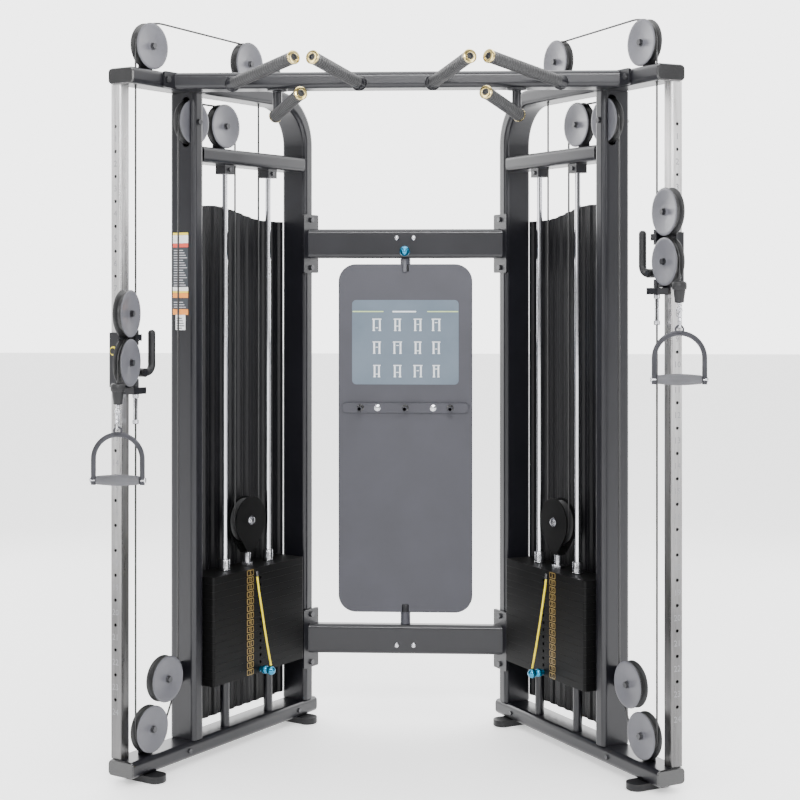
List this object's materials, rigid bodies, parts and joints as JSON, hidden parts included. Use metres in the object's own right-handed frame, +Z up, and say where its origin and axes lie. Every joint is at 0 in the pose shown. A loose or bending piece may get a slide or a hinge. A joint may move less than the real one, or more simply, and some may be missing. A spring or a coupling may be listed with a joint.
{
  "type": "cable crossover machine",
  "caption": "Free-standing twin-tower cable machine with weight stacks, sliding pulley carriages on upright columns, stirrup handles, pull-up grips and a centre board.",
  "frame": {"origin": "on the floor under the middle of the overall box", "axes": "+X to the right seen from the user's side, +Y to the rear, +Z up"},
  "size_m": [1.8076, 0.9972, 2.3037],
  "materials": {
    "frame_paint": "satin powder coat",
    "chrome": "polished",
    "column": "brushed",
    "pulley": "satin",
    "iron": "painted black",
    "sheet": "satin black",
    "rubber": "matte",
    "plastic": "matte",
    "knob": "gloss blue",
    "steel": "plated",
    "cable": "black coated steel cable",
    "yellow": "yellow sleeve",
    "board": "satin grey"
  },
  "bodies": {
    "frame": {"base_tubes": "frame_paint", "front_posts": "frame_paint", "arch_tubes": "frame_paint", "rod_crossmembers": "frame_paint", "columns": "column", "cross_beams": "frame_paint", "guide_rods": "chrome", "stack_risers": "rubber", "shrouds": "sheet", "end_caps": "plastic", "feet": "rubber", "pulley_brackets": "frame_paint", "bolts": "steel", "pullup_handles": "rubber", "main_cables": "cable", "left_stack_cable": "cable", "right_stack_cable": "cable"},
    "board": {"board_panel": "board", "board_hooks": "iron"},
    "board_pin": {"board_pin": "knob"},
    "left_stack": {"left_weight_plates": "iron", "left_stack_head": "iron", "left_lanyard": "yellow"},
    "left_selector": {"left_selector_pin": "knob"},
    "left_floating": {"left_pulley_floating": "pulley"},
    "left_carriage": {"left_carriage_sleeve": "plastic"},
    "left_lever": {"left_carriage_grip": "rubber"},
    "left_yoke": {"left_pulley_yoke": "steel", "left_yoke_cable": "cable"},
    "left_yoke_upper": {"left_carriage_pulley_upper": "pulley"},
    "left_yoke_lower": {"left_carriage_pulley_lower": "pulley"},
    "left_pull": {"left_cable_end": "steel"},
    "left_handle": {"left_d_handle": "steel"},
    "left_handle_grip": {"left_d_grip": "rubber"},
    "left_top_front": {"left_pulley_top_front": "pulley"},
    "left_top_rear": {"left_pulley_top_rear": "pulley"},
    "left_cross": {"left_pulley_cross": "pulley"},
    "left_slot": {"left_pulley_slot": "pulley"},
    "left_low_upper": {"left_pulley_low_upper": "pulley"},
    "left_low_lower": {"left_pulley_low_lower": "pulley"},
    "right_stack": {"right_weight_plates": "iron", "right_stack_head": "iron", "right_lanyard": "yellow"},
    "right_selector": {"right_selector_pin": "knob"},
    "right_floating": {"right_pulley_floating": "pulley"},
    "right_carriage": {"right_carriage_sleeve": "plastic"},
    "right_lever": {"right_carriage_grip": "rubber"},
    "right_yoke": {"right_pulley_yoke": "steel", "right_yoke_cable": "cable"},
    "right_yoke_upper": {"right_carriage_pulley_upper": "pulley"},
    "right_yoke_lower": {"right_carriage_pulley_lower": "pulley"},
    "right_pull": {"right_cable_end": "steel"},
    "right_handle": {"right_d_handle": "steel"},
    "right_handle_grip": {"right_d_grip": "rubber"},
    "right_top_front": {"right_pulley_top_front": "pulley"},
    "right_top_rear": {"right_pulley_top_rear": "pulley"},
    "right_cross": {"right_pulley_cross": "pulley"},
    "right_slot": {"right_pulley_slot": "pulley"},
    "right_low_upper": {"right_pulley_low_upper": "pulley"},
    "right_low_lower": {"right_pulley_low_lower": "pulley"}
  },
  "joints": [
    {"name": "board_swivel", "type": "hinge", "parent": "frame", "child": "board", "pos_m": [-0.013, 0.4134, 1.58], "axis": [0, 0, 1], "range_deg": [-30, 30]},
    {"name": "board_pin_pull", "type": "slide", "parent": "frame", "child": "board_pin", "axis": [0, -1, 0], "range_m": [0, 0.012], "stiffness_N_per_m": 600, "springref_m": -0.005},
    {"name": "left_stack_lift", "type": "slide", "parent": "frame", "child": "left_stack", "axis": [0, 0, 1], "range_m": [0, 0.4], "deforming": ["left_stack_cable"]},
    {"name": "left_selector_pull", "type": "slide", "parent": "left_stack", "child": "left_selector", "axis": [0.866, -0.5, 0], "range_m": [0, 0.06]},
    {"name": "left_floating_spin", "type": "hinge", "parent": "left_stack", "child": "left_floating", "pos_m": [-0.52441, 0.15891, 0.725], "axis": [0.866, -0.5, 0], "continuous": true},
    {"name": "left_carriage_slide", "type": "slide", "parent": "frame", "child": "left_carriage", "axis": [0, 0, 1], "range_m": [-0.8, 0.6]},
    {"name": "left_lever_squeeze", "type": "hinge", "parent": "left_carriage", "child": "left_lever", "pos_m": [-0.77841, -0.28103, 1.233], "axis": [0.866, -0.5, 0], "range_deg": [0, 12], "stiffness_Nm_per_rad": 8, "springref_deg": -5.73},
    {"name": "left_yoke_swivel", "type": "hinge", "parent": "left_carriage", "child": "left_yoke", "pos_m": [-0.79341, -0.30701, 1.267], "axis": [0, 0, 1], "range_deg": [-17.7, 72.3]},
    {"name": "left_upper_spin", "type": "hinge", "parent": "left_yoke", "child": "left_yoke_upper", "pos_m": [-0.80662, -0.36759, 1.413], "axis": [0.977, -0.213, 0], "continuous": true},
    {"name": "left_lower_spin", "type": "hinge", "parent": "left_yoke", "child": "left_yoke_lower", "pos_m": [-0.80662, -0.36759, 1.267], "axis": [0.977, -0.213, 0], "continuous": true},
    {"name": "left_handle_pull", "type": "slide", "parent": "left_yoke", "child": "left_pull", "axis": [0, 0, -1], "range_m": [0, 0.8]},
    {"name": "left_handle_swing", "type": "hinge", "parent": "left_pull", "child": "left_handle", "pos_m": [-0.81983, -0.42817, 1.0695], "axis": [0, 1, 0], "range_deg": [-45, 45]},
    {"name": "left_grip_spin", "type": "hinge", "parent": "left_handle", "child": "left_handle_grip", "pos_m": [-0.81983, -0.42817, 0.9245], "axis": [1, 0, 0], "continuous": true},
    {"name": "left_top_front_spin", "type": "hinge", "parent": "frame", "child": "left_top_front", "pos_m": [-0.76241, -0.25332, 2.225], "axis": [0.866, -0.5, 0], "continuous": true},
    {"name": "left_top_rear_spin", "type": "hinge", "parent": "frame", "child": "left_top_rear", "pos_m": [-0.52441, 0.15891, 2.225], "axis": [0.866, -0.5, 0], "continuous": true},
    {"name": "left_cross_spin", "type": "hinge", "parent": "frame", "child": "left_cross", "pos_m": [-0.58641, 0.05152, 2.01], "axis": [0.866, -0.5, 0], "continuous": true},
    {"name": "left_slot_spin", "type": "hinge", "parent": "frame", "child": "left_slot", "pos_m": [-0.66466, -0.08401, 2.01], "axis": [0.866, -0.5, 0], "continuous": true},
    {"name": "left_low_upper_spin", "type": "hinge", "parent": "frame", "child": "left_low_upper", "pos_m": [-0.72741, -0.1927, 0.285], "axis": [0.866, -0.5, 0], "continuous": true},
    {"name": "left_low_lower_spin", "type": "hinge", "parent": "frame", "child": "left_low_lower", "pos_m": [-0.76241, -0.25332, 0.147], "axis": [0.866, -0.5, 0], "continuous": true},
    {"name": "right_stack_lift", "type": "slide", "parent": "frame", "child": "right_stack", "axis": [0, 0, 1], "range_m": [0, 0.4], "deforming": ["right_stack_cable"]},
    {"name": "right_selector_pull", "type": "slide", "parent": "right_stack", "child": "right_selector", "axis": [-0.866, -0.5, 0], "range_m": [0, 0.06]},
    {"name": "right_floating_spin", "type": "hinge", "parent": "right_stack", "child": "right_floating", "pos_m": [0.49841, 0.15891, 0.725], "axis": [-0.866, -0.5, 0], "continuous": true},
    {"name": "right_carriage_slide", "type": "slide", "parent": "frame", "child": "right_carriage", "axis": [0, 0, 1], "range_m": [-1.1, 0.3]},
    {"name": "right_lever_squeeze", "type": "hinge", "parent": "right_carriage", "child": "right_lever", "pos_m": [0.75241, -0.28103, 1.533], "axis": [0.866, 0.5, 0], "range_deg": [0, 12], "stiffness_Nm_per_rad": 8, "springref_deg": -5.73},
    {"name": "right_yoke_swivel", "type": "hinge", "parent": "right_carriage", "child": "right_yoke", "pos_m": [0.76741, -0.30701, 1.567], "axis": [0, 0, 1], "range_deg": [-85, 5]},
    {"name": "right_upper_spin", "type": "hinge", "parent": "right_yoke", "child": "right_yoke_upper", "pos_m": [0.79361, -0.3632, 1.713], "axis": [-0.9063, -0.4226, 0], "continuous": true},
    {"name": "right_lower_spin", "type": "hinge", "parent": "right_yoke", "child": "right_yoke_lower", "pos_m": [0.79361, -0.3632, 1.567], "axis": [-0.9063, -0.4226, 0], "continuous": true},
    {"name": "right_handle_pull", "type": "slide", "parent": "right_yoke", "child": "right_pull", "axis": [0, 0, -1], "range_m": [0, 0.8]},
    {"name": "right_handle_swing", "type": "hinge", "parent": "right_pull", "child": "right_handle", "pos_m": [0.81982, -0.41939, 1.3695], "axis": [0, 1, 0], "range_deg": [-45, 45]},
    {"name": "right_grip_spin", "type": "hinge", "parent": "right_handle", "child": "right_handle_grip", "pos_m": [0.81982, -0.41939, 1.2245], "axis": [1, 0, 0], "continuous": true},
    {"name": "right_top_front_spin", "type": "hinge", "parent": "frame", "child": "right_top_front", "pos_m": [0.73641, -0.25332, 2.225], "axis": [-0.866, -0.5, 0], "continuous": true},
    {"name": "right_top_rear_spin", "type": "hinge", "parent": "frame", "child": "right_top_rear", "pos_m": [0.49841, 0.15891, 2.225], "axis": [-0.866, -0.5, 0], "continuous": true},
    {"name": "right_cross_spin", "type": "hinge", "parent": "frame", "child": "right_cross", "pos_m": [0.56041, 0.05152, 2.01], "axis": [-0.866, -0.5, 0], "continuous": true},
    {"name": "right_slot_spin", "type": "hinge", "parent": "frame", "child": "right_slot", "pos_m": [0.63866, -0.08401, 2.01], "axis": [-0.866, -0.5, 0], "continuous": true},
    {"name": "right_low_upper_spin", "type": "hinge", "parent": "frame", "child": "right_low_upper", "pos_m": [0.70141, -0.1927, 0.285], "axis": [-0.866, -0.5, 0], "continuous": true},
    {"name": "right_low_lower_spin", "type": "hinge", "parent": "frame", "child": "right_low_lower", "pos_m": [0.73641, -0.25332, 0.147], "axis": [-0.866, -0.5, 0], "continuous": true}
  ],
  "couplings": [
    {"joint": "left_top_rear_spin", "follows": "left_stack_lift", "rad_per_m": 32.258},
    {"joint": "left_top_front_spin", "follows": "left_stack_lift", "rad_per_m": 32.258},
    {"joint": "left_floating_spin", "follows": "left_stack_lift", "rad_per_m": 16.129},
    {"joint": "left_upper_spin", "follows": "left_stack_lift", "rad_per_m": -32.258},
    {"joint": "left_lower_spin", "follows": "left_stack_lift", "rad_per_m": 32.258},
    {"joint": "left_handle_pull", "follows": "left_stack_lift", "ratio": 2},
    {"joint": "left_low_lower_spin", "follows": "left_carriage_slide", "rad_per_m": -16.129},
    {"joint": "left_low_upper_spin", "follows": "left_carriage_slide", "rad_per_m": -16.129},
    {"joint": "left_slot_spin", "follows": "left_carriage_slide", "rad_per_m": 16.129},
    {"joint": "left_cross_spin", "follows": "left_carriage_slide", "rad_per_m": 16.129},
    {"joint": "right_top_rear_spin", "follows": "right_stack_lift", "rad_per_m": -32.258},
    {"joint": "right_top_front_spin", "follows": "right_stack_lift", "rad_per_m": -32.258},
    {"joint": "right_floating_spin", "follows": "right_stack_lift", "rad_per_m": -16.129},
    {"joint": "right_upper_spin", "follows": "right_stack_lift", "rad_per_m": 32.258},
    {"joint": "right_lower_spin", "follows": "right_stack_lift", "rad_per_m": -32.258},
    {"joint": "right_handle_pull", "follows": "right_stack_lift", "ratio": 2},
    {"joint": "right_low_lower_spin", "follows": "right_carriage_slide", "rad_per_m": 16.129},
    {"joint": "right_low_upper_spin", "follows": "right_carriage_slide", "rad_per_m": 16.129},
    {"joint": "right_slot_spin", "follows": "right_carriage_slide", "rad_per_m": -16.129},
    {"joint": "right_cross_spin", "follows": "right_carriage_slide", "rad_per_m": -16.129}
  ]
}
